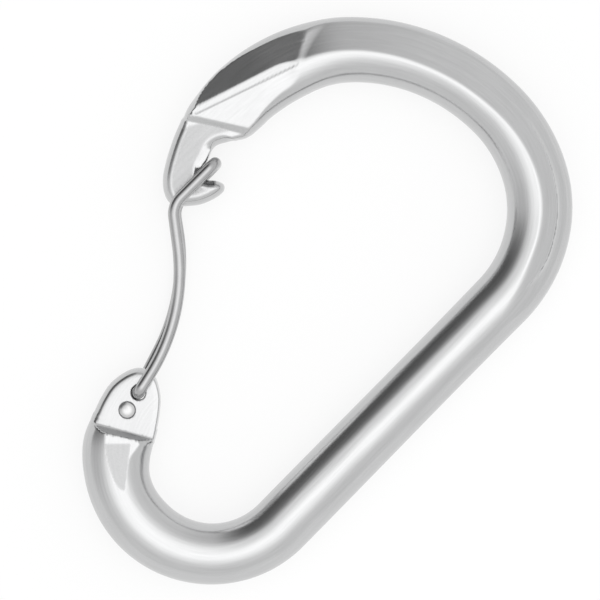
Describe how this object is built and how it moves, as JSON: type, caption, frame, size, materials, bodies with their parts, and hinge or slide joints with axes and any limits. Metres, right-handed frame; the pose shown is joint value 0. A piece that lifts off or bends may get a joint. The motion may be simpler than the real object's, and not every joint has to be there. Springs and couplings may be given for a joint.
{
  "type": "wire-gate carabiner",
  "caption": "Pear-shaped carabiner with a forged aluminium body and a sprung stainless wire gate that opens inwards to let a rope or sling in.",
  "frame": {"origin": "centre of the bounding box, at the lowest point of the carabiner as it lies on its side", "axes": "+X along the spine towards the wide rope end, +Y from the spine to the gate, +Z through the thickness"},
  "size_m": [0.1149, 0.0745, 0.0117],
  "materials": {
    "body_aluminium": "tumble polished, with satin forged flats at the nose and hinge",
    "gate_steel": "drawn stainless wire, lightly polished"
  },
  "bodies": {
    "body": {"forged_body": "body_aluminium"},
    "near_leg": {"gate_near_leg": "gate_steel"},
    "far_leg": {"gate_far_leg": "gate_steel"}
  },
  "joints": [
    {"name": "gate_hinge", "type": "hinge", "parent": "body", "child": "near_leg", "pos_m": [-0.03405, 0.00533, 0.00585], "axis": [0, 0, -1], "range_deg": [0, 38], "stiffness_Nm_per_rad": 0.38, "springref_deg": -22.92},
    {"name": "gate_flex", "type": "hinge", "parent": "near_leg", "child": "far_leg", "pos_m": [0.00692, 0.0253, 0.00585], "axis": [0, 0, -1], "range_deg": [-2.9, 0]}
  ],
  "couplings": [
    {"joint": "gate_flex", "follows": "gate_hinge", "ratio": -0.0759}
  ]
}
